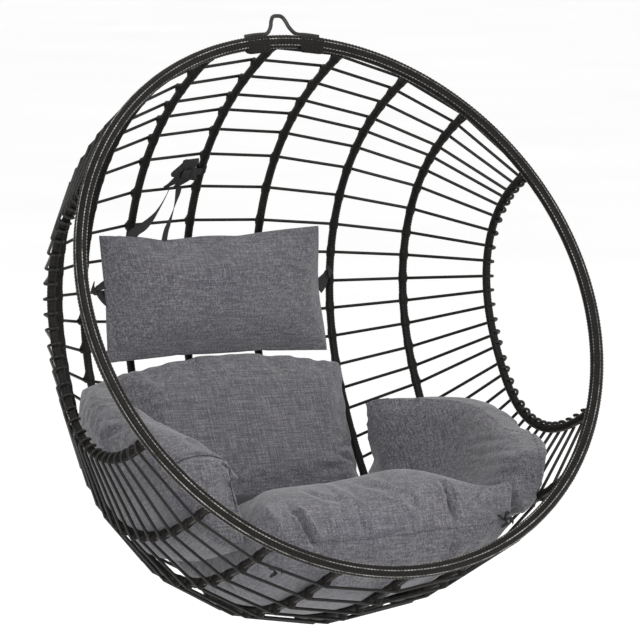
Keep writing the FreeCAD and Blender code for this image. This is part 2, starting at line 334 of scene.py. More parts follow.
def round_tube(points, radius, sides=8):
    """A closed round tube along a list of points in the row frame."""
    points = np.array(points, float)
    tangents = np.gradient(points, axis=0)
    tangents /= np.linalg.norm(tangents, axis=1, keepdims=True)
    normal = np.cross(tangents[0], (0.31, 0.52, 0.79))
    rows = []
    for place, tangent in zip(points, tangents):
        normal = normal - tangent * normal.dot(tangent)
        normal = normal / np.linalg.norm(normal)
        other = np.cross(tangent, normal)
        for k in range(sides):
            turn = 2 * math.pi * k / sides
            rows.append(place + radius * (normal * math.cos(turn) + other * math.sin(turn)))
    faces = []
    for i in range(len(points) - 1):
        for j in range(sides):
            k = (j + 1) % sides
            faces.append((i * sides + j, i * sides + k, (i + 1) * sides + k, (i + 1) * sides + j))
    faces.append(tuple(reversed(range(sides))))
    faces.append(tuple(range((len(points) - 1) * sides, len(points) * sides)))
    return rows, faces


# ---------------------------------------------------------------- materials

class Shader:
    """A small helper round one material's node tree."""

    def __init__(self, name, roughness, specular=0.5):
        self.material = bpy.data.materials.new(name)
        self.material.use_nodes = True
        self.tree = self.material.node_tree
        self.tree.nodes.clear()
        self.output = self.add("ShaderNodeOutputMaterial")
        self.surface = self.add("ShaderNodeBsdfPrincipled")
        self.surface.inputs["Roughness"].default_value = roughness
        self.surface.inputs["Specular IOR Level"].default_value = specular
        self.join(self.surface.outputs["BSDF"], self.output.inputs["Surface"])
        self.coordinates = self.add("ShaderNodeTexCoord").outputs["Object"]

    def add(self, kind, **values):
        node = self.tree.nodes.new(kind)
        for name, value in values.items():
            setattr(node, name, value)
        return node

    def join(self, output, target):
        self.tree.links.new(output, target)

    def turned(self):
        """Object coordinates turned into basket space, so that threads run with the cushions."""
        mapping = self.add("ShaderNodeMapping", vector_type="TEXTURE")
        mapping.inputs["Rotation"].default_value = (-TILT_BACK, 0, 0)
        self.join(self.coordinates, mapping.inputs["Vector"])
        return mapping.outputs["Vector"]

    def noise(self, scale, stretch=(1, 1, 1), detail=3.0, source=None):
        mapping = self.add("ShaderNodeMapping")
        mapping.inputs["Scale"].default_value = stretch
        self.join(source or self.coordinates, mapping.inputs["Vector"])
        texture = self.add("ShaderNodeTexNoise")
        texture.inputs["Scale"].default_value = scale
        texture.inputs["Detail"].default_value = detail
        self.join(mapping.outputs["Vector"], texture.inputs["Vector"])
        return texture.outputs["Fac"]

    def ramp(self, value, *stops):
        """Colours by value; a stop is (place, (r, g, b))."""
        node = self.add("ShaderNodeValToRGB")
        elements = node.color_ramp.elements
        while len(elements) < len(stops):
            elements.new(0.5)
        for element, (place, colour) in zip(elements, stops):
            element.position = place
            element.color = (*colour, 1.0)
        self.join(value, node.inputs["Fac"])
        return node.outputs["Color"]

    def mix(self, blend_type, factor, first, second):
        node = self.add("ShaderNodeMix", data_type="RGBA", blend_type=blend_type)
        if isinstance(factor, float):
            node.inputs["Factor"].default_value = factor
        else:
            self.join(factor, node.inputs["Factor"])
        self.join(first, node.inputs["A"])
        self.join(second, node.inputs["B"])
        return node.outputs["Result"]

    def sum(self, first, second, operation="ADD"):
        node = self.add("ShaderNodeMath", operation=operation)
        self.join(first, node.inputs[0])
        if isinstance(second, float):
            node.inputs[1].default_value = second
        else:
            self.join(second, node.inputs[1])
        return node.outputs["Value"]

    def colour(self, output):
        self.join(output, self.surface.inputs["Base Color"])

    def rough(self, value, low, high):
        node = self.add("ShaderNodeMapRange")
        node.inputs["To Min"].default_value = low
        node.inputs["To Max"].default_value = high
        self.join(value, node.inputs["Value"])
        self.join(node.outputs["Result"], self.surface.inputs["Roughness"])

    def bump(self, height, distance, strength=1.0):
        node = self.add("ShaderNodeBump")
        node.inputs["Distance"].default_value = distance
        node.inputs["Strength"].default_value = strength
        self.join(height, node.inputs["Height"])
        self.join(node.outputs["Normal"], self.surface.inputs["Normal"])


def rattan_flat():
    """Near-black resin rattan, with fine fibre lines and scuffed patches of changing sheen."""
    shader = Shader("rattan_flat", 0.5, 0.13)
    fibre = shader.noise(260, (1, 1, 1), 6)
    patches = shader.noise(14, (1, 1, 1), 3)
    colour = shader.ramp(fibre, (0.25, (0.004, 0.0038, 0.0036)), (0.55, (0.0085, 0.0078, 0.007)),
                         (0.8, (0.025, 0.0225, 0.0195)))
    tint = shader.ramp(patches, (0.3, (0.75, 0.75, 0.78)), (0.7, (1.15, 1.1, 1.0)))
    shader.colour(shader.mix("MULTIPLY", 1.0, colour, tint))
    shader.rough(patches, 0.38, 0.62)
    shader.bump(fibre, 0.0004, 0.7)
    return shader.material


def rattan_round():
    """The round poles: smoother and a little glossier than the winding, grained along X."""
    shader = Shader("rattan_round", 0.4, 0.2)
    grain = shader.noise(420, (0.04, 1, 1), 4)
    patches = shader.noise(9, (1, 1, 1), 3)
    colour = shader.ramp(grain, (0.3, (0.006, 0.0057, 0.0055)), (0.6, (0.014, 0.0133, 0.0125)),
                         (0.85, (0.034, 0.032, 0.030)))
    tint = shader.ramp(patches, (0.3, (0.8, 0.8, 0.82)), (0.7, (1.2, 1.15, 1.08)))
    shader.colour(shader.mix("MULTIPLY", 1.0, colour, tint))
    shader.rough(patches, 0.3, 0.5)
    shader.bump(grain, 0.0003, 0.5)
    return shader.material


def weaver(name, dark, light):
    """The lengthwise cord that shows as light dashes along the windings. Its pale colour is partly the
    cord's own and partly painted highlight of the glossy bumps where it rises over each turn.
    """
    shader = Shader(name, 0.5, 0.4)
    patches = shader.noise(60, (1, 1, 1), 3)
    fibre = shader.noise(500, (1, 1, 1), 3)
    # The light end of this ramp is partly painted highlight of the glossy bumps.
    base = shader.ramp(patches, (0.35, dark), (0.62, light))
    tint = shader.ramp(fibre, (0.3, (0.7, 0.7, 0.7)), (0.7, (1.1, 1.1, 1.1)))
    # Slow random dimming of the cord: painted shade for stretches that sit in shade, laid at random along
    # the windings.
    slow_painted_shade = shader.ramp(shader.noise(5.0), (0.38, (0.4, 0.4, 0.4)), (0.62, (1.0, 1.0, 1.0)))
    shader.colour(shader.mix("MULTIPLY", 1.0, shader.mix("MULTIPLY", 1.0, base, tint), slow_painted_shade))
    shader.bump(fibre, 0.0003, 0.6)
    return shader.material


def painted_steel(name, colour, metallic=0.0):
    """Powder-coated steel with a fine orange peel and a few rubbed places."""
    shader = Shader(name, 0.42, 0.5)
    peel = shader.noise(900, (1, 1, 1), 2)
    rubs = shader.noise(24, (1, 1, 1), 6)
    worn = tuple(min(1.0, channel * 2.6 + 0.02) for channel in colour)
    shader.colour(shader.ramp(rubs, (0.5, colour), (0.78, worn)))
    shader.surface.inputs["Metallic"].default_value = metallic
    shader.rough(rubs, 0.3, 0.5)
    shader.bump(peel, 0.0002, 0.4)
    return shader.material


def linen(name, dark, middle, light):
    """Heathered grey linen-look weave: slubbed threads both ways over a slow change of tone."""
    shader = Shader(name, 0.92, 0.2)
    turned = shader.turned()
    across = shader.noise(105, (0.22, 3.2, 3.2), 4, turned)
    upward = shader.noise(105, (3.2, 3.2, 0.22), 4, turned)
    inward = shader.noise(105, (3.2, 0.22, 3.2), 4, turned)
    threads = shader.sum(shader.sum(across, upward), inward)
    threads = shader.sum(threads, 0.3333, "MULTIPLY")
    speckle = shader.noise(420, (1, 1, 1), 2, turned)
    slow = shader.noise(7, (1, 1, 1), 3, turned)
    heather = shader.ramp(threads, (0.40, dark), (0.50, middle), (0.60, light))
    flecks = shader.ramp(speckle, (0.34, (0.72, 0.72, 0.74)), (0.5, (1.0, 1.0, 1.0)),
                         (0.68, (1.30, 1.29, 1.27)))
    tone = shader.ramp(slow, (0.3, (0.94, 0.94, 0.97)), (0.7, (1.06, 1.05, 1.02)))
    shader.colour(shader.mix("MULTIPLY", 1.0, shader.mix("MULTIPLY", 1.0, heather, flecks), tone))
    shader.surface.inputs["Sheen Weight"].default_value = 0.25
    shader.surface.inputs["Sheen Roughness"].default_value = 0.6
    shader.bump(shader.sum(threads, speckle), 0.0012, 0.55)
    return shader.material


def ribbon_cloth():
    """Black ribbon with a fine crosswise rib."""
    shader = Shader("ribbon_cloth", 0.7, 0.3)
    ribs = shader.noise(700, (0.2, 1, 2), 2)
    shader.colour(shader.ramp(ribs, (0.35, (0.008, 0.008, 0.009)), (0.65, (0.022, 0.021, 0.022))))
    shader.bump(ribs, 0.0004, 0.6)
    return shader.material


WINDING = rattan_flat()
POLE = rattan_round()
# Pale cord colours, partly painted highlight of the glossy bumps; the ribs' copy is dimmer.
RING_CORD_PALE_AND_HIGHLIGHT = weaver("ring_cord_pale_and_highlight", (0.08, 0.076, 0.070), (0.42, 0.405, 0.38))
RIB_CORD_PALE_AND_HIGHLIGHT = weaver("rib_cord_pale_and_highlight", (0.03, 0.028, 0.026), (0.16, 0.15, 0.14))
FRAME_STEEL = painted_steel("frame_steel", (0.012, 0.012, 0.012))
LOOP_STEEL = painted_steel("loop_steel", (0.018, 0.017, 0.016), 0.3)
FABRIC = linen("cushion_linen", (0.053, 0.052, 0.062), (0.094, 0.092, 0.104), (0.165, 0.160, 0.170))
# Near-black linen: the stitch thread's own colour, and painted shade where it makes the left arm's seam
# cord.
SEAM_THREAD_AND_SHADE = linen("seam_thread_and_shade_linen", (0.012, 0.012, 0.014), (0.020, 0.020, 0.023), (0.034, 0.033, 0.036))
RIBBON = ribbon_cloth()


def paint_frame():
    """Materials for the CAD nodes that stay in sight."""
    for name, node in NODES.items():
        if name.startswith("strand"):
            material = POLE
        elif name == "hanging_loop":
            material = LOOP_STEEL
        else:
            material = FRAME_STEEL
        node.data.materials.clear()
        node.data.materials.append(material)


# ---------------------------------------------------------------- windings and bindings

def ring_windings():
    path = ring_path(RING_RADIUS)
    vertices, faces = wound_tube(path, RING_WRAP_RADIUS, RING_TURN, 20)
    piece = add_piece("ring_winding", vertices, faces, WINDING, slot="rattan_flat")
    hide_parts("ring_wrap")
    cords = [weaver_cord(path, RING_WRAP_RADIUS, RING_TURN, degrees)
             for degrees in RING_CORD_DEGREES]
    add_piece("ring_weaver_cords", *join_meshes(cords), RING_CORD_PALE_AND_HIGHLIGHT, slot="rattan_flat")


def rib_windings():
    for number, x in enumerate(RIBS, start=1):
        path = rib_path(x)

        def flare(s, angle, path=path):
            ends = np.minimum(s, path.length - s)
            return 0.0032 * np.exp(-np.maximum(ends - 0.014, 0) / 0.010)

        vertices, faces = wound_tube(path, RIB_WRAP_RADIUS, RIB_TURN, 12, flare)
        piece = add_piece(f"rib_winding_{number}", vertices, faces, WINDING, slot="rattan_flat")
        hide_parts(f"rib_wrap_{number}")
        cords = [weaver_cord(path, RIB_WRAP_RADIUS, RIB_TURN, degrees, 0.03, 0.03, 0.0009)
                 for degrees in RIB_CORD_DEGREES]
        add_piece(f"rib_weaver_cords_{number}", *join_meshes(cords), RIB_CORD_PALE_AND_HIGHLIGHT, slot="rattan_flat")


def crossing(x, degrees):
    """Where the strand at degrees passes the rib at x: degrees along that rib, and the strand's
    in-plane axis away from X."""
    middle, outward = strand_middle(degrees)
    across = Vector((0, -outward.z, outward.y))
    low, high = max(degrees - 8.0, 0.0), min(degrees + 8.0, 180.0)
    side_low = (bowl_point(x, low) - middle).dot(across)
    for _ in range(30):
        guess = (low + high) / 2
        if (bowl_point(x, guess) - middle).dot(across) * side_low > 0:
            low = guess
        else:
            high = guess
    return guess, outward, (bowl_point(x, guess) - middle).dot(outward)


def binding(place, along, towards, half_length, columns=12, rows=13):
    """A lashing round a rib and the strand that crosses it: a wound band that bulges over it."""
    side = along.cross(towards).normalized()
    towards = side.cross(along).normalized()
    vertices = []
    for row in range(rows):
        u = 2 * row / (rows - 1) - 1
        fade = max(0.0, 1 - u * u) ** 0.35 * math.exp(-((u - 0.3) / 0.75) ** 2)
        ridge = 0.0004 * math.cos(5 * math.pi * u)
        for column in range(columns):
            turn = 2 * math.pi * column / columns
            bulge = max(0.0, math.cos(turn)) ** 3
            if row in (0, rows - 1):
                reach = RIB_WRAP_RADIUS * 0.8
            else:
                reach = (RIB_WRAP_RADIUS + 0.0003 + (0.0007 + ridge) * fade
                         + bulge * fade * (STRAND_OFFSET + STRAND_RADIUS - RIB_WRAP_RADIUS + 0.0004))
            vertices.append(place + along * (u * half_length)
                            + (towards * math.cos(turn) + side * math.sin(turn)) * reach)
    faces = []
    for row in range(rows - 1):
        for column in range(columns):
            following = (column + 1) % columns
            faces.append((row * columns + column, row * columns + following,
                          (row + 1) * columns + following, (row + 1) * columns + column))
    faces.append(tuple(reversed(range(columns))))
    faces.append(tuple(range((rows - 1) * columns, rows * columns)))
    return vertices, faces


def rib_bindings():
    """One lashing at each place where a strand crosses a rib, on all but the two outermost ribs."""
    positions = RIBS
    lashings = {number: [] for number in range(1, len(positions) + 1)}
    for degrees in strand_degrees():
        passes = [crossing(x, degrees) for x in positions]
        headings = [math.atan2(after[2] - before[2], x_after - x_before) for before, after, x_before,
                    x_after in zip(passes, passes[1:], positions, positions[1:])]
        headings = [headings[0] + 0.9] + headings + [headings[-1] - 0.9]
        for number, (x, (at, outward, _)) in enumerate(zip(positions, passes), start=1):
            heading = (headings[number - 1] + headings[number]) / 2
            towards = Vector((-math.sin(heading), 0, 0)) + outward * math.cos(heading)
            low, high = max(at - 1.5, 0.0), min(at + 1.5, 180.0)
            along = (bowl_point(x, high) - bowl_point(x, low)).normalized()
            inward = Vector((0, along.z, -along.y))
            place = bowl_point(x, at) + inward * 0.0012
            lashings[number].append(binding(place - along * 0.003, along, towards, 0.0115))
    for number, parts in list(lashings.items())[1:-1]:
        vertices, faces = join_meshes(parts)
        add_piece(f"rib_bindings_{number}", hang(vertices), faces, WINDING, slot="rattan_flat")


def foot_reach(angle):
    """How far the foot winding stands from the ring's centre line: snug round the ring's winding
    and stretched over the loop's rod, which lies on it at angle 0."""
    inner = RING_WRAP_RADIUS + 0.0002
    rod = LOOP_ROD_RADIUS + 0.0011
    apart = RING_WRAP_RADIUS + LOOP_ROD_RADIUS + 0.0001
    turn = np.abs((angle + math.pi) % (2 * math.pi) - math.pi)
    leaves = math.acos((inner - rod) / apart)
    flat = inner / np.cos(np.clip(leaves - turn, 0, 1.4))
    under = np.maximum(rod ** 2 - (apart * np.sin(turn)) ** 2, 0)
    over = np.where(turn < math.asin(rod / apart), apart * np.cos(turn) + np.sqrt(under), 1.0)
    return np.minimum(flat, over)


def foot_windings():
    """The thick winding over each foot of the hanging loop."""
    parts = []
    for side in (-1, 1):
        middle = LOOP_SHIFT + side * (LOOP_FOOT_SPREAD + LOOP_FOOT_END + 0.008) / 2
        half = (LOOP_FOOT_END - LOOP_FOOT_SPREAD) / 2 + 0.006
        turns = np.linspace((middle - half) / RING_RADIUS, (middle + half) / RING_RADIUS, 40)
        points = np.stack([RING_RADIUS * np.sin(turns), 0 * turns, RING_RADIUS * np.cos(turns)], -1)
        path = PlanarPath(points, (0, -1, 0))

        def hull(s, angle, path=path):
            ends = np.clip(np.minimum(s, path.length - s) / 0.016, 0, 1)
            return (foot_reach(angle) - RING_WRAP_RADIUS) * np.sin(math.pi / 2 * ends) ** 0.7

        parts.append(wound_tube(path, RING_WRAP_RADIUS + TURN_RIDGE, 0.0045, 32, hull))
    piece = add_piece("loop_foot_windings", *join_meshes(parts), WINDING, slot="rattan_flat")
    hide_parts("loop_wraps")


# ---------------------------------------------------------------- soft goods

def apply_modifiers(piece):
    """The mesh as its modifiers make it, with the modifiers gone."""
    graph = bpy.context.evaluated_depsgraph_get()
    mesh = bpy.data.meshes.new_from_object(piece.evaluated_get(graph))
    piece.modifiers.clear()
    piece.data = mesh
    return piece


def coordinates(mesh):
    places = np.zeros(len(mesh.vertices) * 3)
    mesh.vertices.foreach_get("co", places)
    return places.reshape(-1, 3)


def normals(mesh):
    values = np.zeros(len(mesh.vertices) * 3)
    mesh.vertex_normals.foreach_get("vector", values)
    return values.reshape(-1, 3)


def set_coordinates(mesh, places):
    mesh.vertices.foreach_set("co", places.astype(np.float32).ravel())
    mesh.update()


def inflate(piece, pressure, frames=20, cap=None, stiffness=15.0, mass=0.3):
    """Puffs a closed mesh up like a filled cover, moving no point by more than the cap."""
    start = coordinates(piece.data)
    cloth = piece.modifiers.new("cloth", "CLOTH")
    cloth.settings.quality = 5
    cloth.settings.mass = mass
    cloth.settings.tension_stiffness = stiffness
    cloth.settings.compression_stiffness = stiffness
    cloth.settings.shear_stiffness = 5
    cloth.settings.bending_stiffness = 0.5
    cloth.settings.use_pressure = True
    cloth.settings.uniform_pressure_force = pressure
    cloth.settings.effector_weights.gravity = 0
    cloth.collision_settings.use_collision = False
    cloth.point_cache.frame_start = 1
    cloth.point_cache.frame_end = frames
    for number in range(1, frames + 1):
        bpy.context.scene.frame_set(number)
    apply_modifiers(piece)
    bpy.context.scene.frame_set(1)
    if cap:
        moved = coordinates(piece.data) - start
        length = np.linalg.norm(moved, axis=1, keepdims=True)
        share = cap * np.tanh(length / cap) / np.maximum(length, 1e-9)
        set_coordinates(piece.data, start + moved * share)


def relax(mesh, rounds, strength=0.5):
    """Evens a mesh out, as a filled cover does."""
    work = bmesh.new()
    work.from_mesh(mesh)
    for _ in range(rounds):
        bmesh.ops.smooth_vert(work, verts=work.verts, factor=strength,
                              use_axis_x=True, use_axis_y=True, use_axis_z=True)
    work.to_mesh(mesh)
    work.free()


def cushion_from(node, name, voxel, shrink, cap, pressure=4.0, evening=5):
    """A filled cushion grown from its plain CAD solid: remeshed, slimmed, then blown up."""
    mesh = NODES[node].data.copy()
    piece = bpy.data.objects.new(name, mesh)
    bpy.context.scene.collection.objects.link(piece)
    remesh = piece.modifiers.new("remesh", "REMESH")
    remesh.mode = "VOXEL"
    remesh.voxel_size = voxel
    apply_modifiers(piece)
    relax(piece.data, evening)
    set_coordinates(piece.data, coordinates(piece.data) - normals(piece.data) * shrink)
    relax(piece.data, 3)
    inflate(piece, pressure, cap=cap)
    subdivide(piece)
    return piece


def subdivide(piece):
    subdivision = piece.modifiers.new("subdivision", "SUBSURF")
    subdivision.levels = 1
    subdivision.render_levels = 1
    apply_modifiers(piece)
    piece.data.materials.clear()
    piece.data.materials.append(FABRIC)
    piece.data.polygons.foreach_set("use_smooth", [True] * len(piece.data.polygons))


def warp(piece, move):
    """Moves a piece's points by move(places), both in basket millimetres."""
    places = unhang(coordinates(piece.data)) * 1000
    set_coordinates(piece.data, hang((places + move(places)) / 1000))


def rise(values, low, high):
    """0 below low, 1 above high and smooth between them; low may be the larger."""
    t = np.clip((values - low) / (high - low), 0, 1)
    return t * t * (3 - 2 * t)


def hill(values, middle, width):
    return np.exp(-((values - middle) / width) ** 2)


def spline(corners, samples=16):
    """A smooth line through the corners' runs, as points in the row frame."""
    points = [np.array(corner, float) / 1000 for corner in corners]
    if len(points) == 2:
        line = [points[0] + (points[1] - points[0]) * k / samples for k in range(samples + 1)]
    else:
        line = rounded(points, samples)
    return hang(line)


def places_in(node):
    """Gives at(across, back, up): a place in a CAD node's box, in basket millimetres, from shares
    of its width from the left, its depth from the front and its height from the bottom."""
    mesh_places = [NODES[node].matrix_world @ vertex.co for vertex in NODES[node].data.vertices]
    places = unhang(np.array(mesh_places)) * 1000
    low, high = places.min(axis=0), places.max(axis=0)
    return lambda across, back, up: tuple(low + (high - low) * np.array((across, back, up)))


def surface_line(piece, corners, samples=16, lift=0.0):
    """A line through the corners, laid on the side of the piece that faces the eye."""
    tree = BVHTree.FromObject(piece, bpy.context.evaluated_depsgraph_get())
    line = []
    for point in spline(corners, samples):
        place, normal, _, _ = tree.ray_cast(EYE, (Vector(point) - EYE).normalized())
        if place is None:
            place, normal, _, _ = tree.find_nearest(Vector(point))
        line.append(np.array(place + normal * lift))
    return np.array(line)


def crease(piece, corners, width, depth, lip=0.35, fade=True):
    """Presses a fold into the surface along a line, with a soft lip on each side of it.

    The corners are in basket millimetres, near the surface. A negative depth raises the surface."""
    line = surface_line(piece, corners)
    places = coordinates(piece.data)
    facing = normals(piece.data)
    middle = line.mean(axis=0)
    reach = np.linalg.norm(line - middle, axis=1).max() + 4 * width
    near = np.where(np.linalg.norm(places - middle, axis=1) < reach)[0]
    if len(near) == 0:
        return
    offset = places[near, None, :] - line[None, :, :]
    height = np.einsum("vlk,vk->vl", offset, facing[near])
    flat = np.sqrt(np.maximum((offset ** 2).sum(-1) - height ** 2, 0)) + 0.25 * np.abs(height)
    nearest = flat.argmin(axis=1)
    distance = flat[np.arange(len(near)), nearest] / width
    share = nearest / (len(line) - 1)
    strength = np.sin(math.pi * np.clip(share, 0, 1)) ** 0.6 if fade else 1.0
    press = np.exp(-distance ** 2) - lip * np.exp(-((distance - 1.9) / 0.8) ** 2)
    places[near] -= facing[near] * (press * strength * depth)[:, None]
    set_coordinates(piece.data, places)


def even(points, spacing):
    """The same line with evenly spaced points."""
    lengths = np.concatenate([[0], np.cumsum(np.linalg.norm(np.diff(points, axis=0), axis=1))])
    count = max(3, int(lengths[-1] / spacing))
    s = np.linspace(0, lengths[-1], count)
    return np.stack([np.interp(s, lengths, points[:, k]) for k in range(3)], -1)


def seam_shade_cord(piece, name, corners, body, radius=0.0014):
    """A raised dark cord along a seam line on the surface: painted shade of the seam's groove, laid on as a
    cord.
    """
    line = surface_line(piece, corners, lift=radius * 0.2)
    vertices, faces = round_tube(even(line, 0.006), radius)
    add_piece(name, vertices, faces, SEAM_THREAD_AND_SHADE, body, slot="cushion_fabric")


def soft_noise(piece, scale, height, seed):
    """Low lumps of the filling, the same on every run."""
    places = coordinates(piece.data)
    facing = normals(piece.data)
    shift = Vector((seed * 3.7, seed * 1.3, seed * 5.1))
    lumps = np.array([noise.noise(Vector(place) * scale + shift) for place in places])
    set_coordinates(piece.data, places + facing * (lumps * height)[:, None])


def finish_cushion(piece, body, nodes):
    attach(piece, body)
    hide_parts(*nodes)


def creases(piece, *folds):
    """Each fold is its width and depth in millimetres and then its corners."""
    for width, depth, *corners in folds:
        crease(piece, corners, width / 1000, depth / 1000)


def back_cushion():
    piece = cushion_from("back_cushion", "back_cushion_cover", 0.007, 0.003, 0.014)

    def crest(places):
        x, y, z = places.T
        move = np.zeros_like(places)
        move[:, 2] = 14 * rise(z, 10, 80) * rise(y, 500, 465)
        return move

    warp(piece, crest)
    soft_noise(piece, 9.0, 0.0035, 1)
    at = places_in("back_cushion")
    creases(
        piece,
        (6, 4.5, at(0.02, 0.05, 0.73), at(0.05, 0.05, 0.78), at(0.1, 0.05, 0.82)),
        (7, 6.0, at(0.04, 0.05, 0.7), at(0.08, 0.05, 0.76), at(0.15, 0.05, 0.82)),
        (8, 5.5, at(0.05, 0.05, 0.65), at(0.12, 0.05, 0.72), at(0.22, 0.05, 0.8)),
        (7, 3.5, at(0.06, 0.05, 0.6), at(0.13, 0.05, 0.65), at(0.25, 0.05, 0.7)),
        (6, 6.0, at(0.84, 0.05, 0.3), at(0.88, 0.05, 0.34), at(0.92, 0.05, 0.36)),
        (7, 8.0, at(0.84, 0.05, 0.3), at(0.88, 0.05, 0.27), at(0.92, 0.05, 0.23)),
        (9, 5.0, at(0.68, 0.05, 0.18), at(0.8, 0.05, 0.2), at(0.92, 0.05, 0.2)),
        (9, -3.0, at(0.74, 0.05, 0.27), at(0.82, 0.05, 0.25), at(0.9, 0.05, 0.25)),
    )
    finish_cushion(piece, "seat_pad", ["back_cushion"])


def seat_cushion():
    piece = cushion_from("seat_cushion", "seat_cushion_cover", 0.0065, 0.003, 0.022, evening=4)

    def hump(places):
        x, y, _ = places.T
        move = np.zeros_like(places)
        move[:, 2] = 9 * hill(x, 95, 80) * rise(y, 50, 130) * rise(y, 420, 260)
        return move

    warp(piece, hump)
    soft_noise(piece, 8.0, 0.0050, 2)
    at = places_in("seat_cushion")
    creases(
        piece,
        (7, 19.0, at(0.12, 0.03, 0.5), at(0.14, 0.03, 0.4), at(0.16, 0.03, 0.28), at(0.18, 0.03, 0.12)),
        (8, 6.0, at(0.1, 0.05, 0.52), at(0.13, 0.05, 0.46), at(0.16, 0.05, 0.37)),
        (7, 19.0, at(0.73, 0.06, 0.66), at(0.75, 0.06, 0.55), at(0.75, 0.06, 0.42), at(0.75, 0.06, 0.24)),
        (6, 10.0, at(0.77, 0.08, 0.66), at(0.79, 0.08, 0.55), at(0.78, 0.08, 0.42)),
        (6, 6.0, at(0.69, 0, 0.17), at(0.67, 0, 0.1), at(0.65, 0, 0.02)),
        (11, 6.0, at(0.58, 0.1, 0.62), at(0.62, 0.1, 0.53), at(0.66, 0.1, 0.42)),
        (9, 4.0, at(0.22, 0.14, 0.7), at(0.28, 0.14, 0.64), at(0.34, 0.14, 0.6)),
        (9, 4.0, at(0.26, 0.1, 0.56), at(0.32, 0.1, 0.58), at(0.4, 0.1, 0.53)),
        (12, 5.0, at(0.5, 0.2, 0.75), at(0.58, 0.2, 0.7), at(0.66, 0.2, 0.66)),
        (10, 4.0, at(0.8, 0.05, 0.46), at(0.87, 0.05, 0.42), at(0.92, 0.05, 0.38)),
    )
    seam = (at(0, 0, 0.25), at(0.15, 0, 0.21), at(0.4, 0, 0.21), at(0.65, 0, 0.24), at(0.95, 0, 0.24))
    crease(piece, seam, 0.0050, 0.0042, lip=0.15)
    stitches(piece, "seat_seam_stitches", seam, "seat_pad")
    knotted_ties(piece, "seat_ties", (at(0.95, 0.03, 0.27), at(0, 0.05, 0.1)))
    finish_cushion(piece, "seat_pad", ["seat_cushion"])


def left_arm_cushion():
    piece = cushion_from("arm_cushion_left", "arm_cushion_left_cover", 0.006, 0.002, 0.018, evening=3)

    def front_fullness(places):
        x, y, z = places.T
        move = np.zeros_like(places)
        move[:, 0] = 14 * hill(z, -360, 60) * rise(y, 170, 90) * rise(x, -330, -280)
        return move

    warp(piece, front_fullness)
    soft_noise(piece, 10.0, 0.0030, 2)
    at = places_in("arm_cushion_left")
    creases(
        piece,
        (8, 7.0, at(0, 0.4, 0.63), at(0.15, 0.4, 0.65), at(0.4, 0.4, 0.67)),
        (7, 5.0, at(0.33, 0.45, 0.67), at(0.36, 0.45, 0.7), at(0.4, 0.45, 0.74)),
        (7, 3.5, at(0.65, 0.1, 0.54), at(0.8, 0.1, 0.5), at(0.9, 0.1, 0.46)),
        (10, 3.0, at(0.45, 0.1, 0.52), at(0.62, 0.1, 0.48), at(0.8, 0.1, 0.44)),
        (5, 3.5, at(0.6, 0, 0.16), at(0.7, 0, 0.17), at(0.8, 0, 0.18)),
        (5, 3.5, at(0.62, 0, 0.14), at(0.71, 0, 0.15), at(0.8, 0, 0.16)),
    )
    seam = (at(0.2, 0, 0.34), at(0.28, 0, 0.37), at(0.5, 0, 0.39), at(0.7, 0, 0.38), at(0.86, 0, 0.34),
            at(0.93, 0, 0.29), at(0.96, 0, 0.23), at(0.95, 0, 0.19))
    crease(piece, seam, 0.006, 0.0040, lip=0.3, fade=False)
    # A near-black cord along the seam's groove: painted shade of the groove.
    seam_shade_cord(piece, "arm_left_seam_shade_cord", seam, "seat_pad", 0.0011)
    stitches(piece, "arm_left_stitches",
             (at(0.7, 0, 0.31), at(0.76, 0, 0.26), at(0.78, 0, 0.19), at(0.79, 0, 0.1)), "seat_pad")
    finish_cushion(piece, "seat_pad", ["arm_cushion_left"])


def right_arm_cushion():
    piece = cushion_from("arm_cushion_right", "arm_cushion_right_cover", 0.006, 0.002, 0.016)

    def spread(places):
        x, y, _ = places.T
        move = np.zeros_like(places)
        move[:, 0] = -9 * rise(y, 300, 390) + 5 * rise(x, 380, 440)
        return move

    warp(piece, spread)
    soft_noise(piece, 10.0, 0.0022, 4)
    at = places_in("arm_cushion_right")
    creases(
        piece,
        (8, 3.0, at(0.6, 0.4, 0.69), at(0.73, 0.4, 0.74), at(0.88, 0.4, 0.77)),
        (5, 4.0, at(0.27, 0.08, 0.02), at(0.42, 0.08, 0.03), at(0.6, 0.08, 0.04)),
    )
    for number in range(6):
        level = 0.52 - 0.085 * number
        back = 0.05 + 0.5 * level
        inner = 0.15 + 0.5 * max(level - 0.4, 0)
        outer = 1.0 - 0.8 * max(0.3 - level, 0)
        creases(piece, (6, 2.6, at(inner, back, level - 0.03), at((inner + outer) / 2, back, level + 0.02),
                        at(outer, back, level)))
    edge = (at(0.6, 0.15, 0.65), at(0.78, 0.15, 0.57), at(0.86, 0.15, 0.48), at(0.88, 0.15, 0.38),
            at(0.86, 0.15, 0.28), at(0.8, 0.15, 0.18), at(0.73, 0.15, 0.12))
    centre = np.array(at(0.3, 0.15, 0.33))
    for number in range(11):
        t = (number + 0.5) / 11
        along = [np.interp(t, np.linspace(0, 1, len(edge)), axis) for axis in zip(*edge)]
        middle = np.array(along)
        heading = middle - centre
        heading = 13 * heading / np.linalg.norm(heading)
        crease(piece, (middle - heading, middle, middle + heading * 1.3), 0.0045, 0.0030)
    stitches(piece, "arm_right_stitches", edge, "seat_pad", 0.003, 0.007, 0.0007)
    finish_cushion(piece, "seat_pad", ["arm_cushion_right"])


def knotted_ties(piece, name, places):
    """Short dark ties knotted at the cushion's edge: two small loops and two ends at each place."""
    parts = []
    for corner in places:
        middle = unhang(surface_line(piece, (corner, corner), lift=0.004)[0]) * 1000
        for x, z in ((-13, 9), (12, 12), (-9, -13), (14, -8)):
            tip = middle + np.array((x, -5, z))
            bend = middle + np.array((x * 0.5 - z * 0.35, -8, z * 0.5 + x * 0.35))
            parts.append(ribbon([middle, bend, tip, tip + (x * 0.15, 5, z * 0.15)], (5, 8, 8, 5),
                                (z, 4, -x)))
    add_piece(name, *join_meshes(parts), RIBBON, "seat_pad", slot="ribbon")


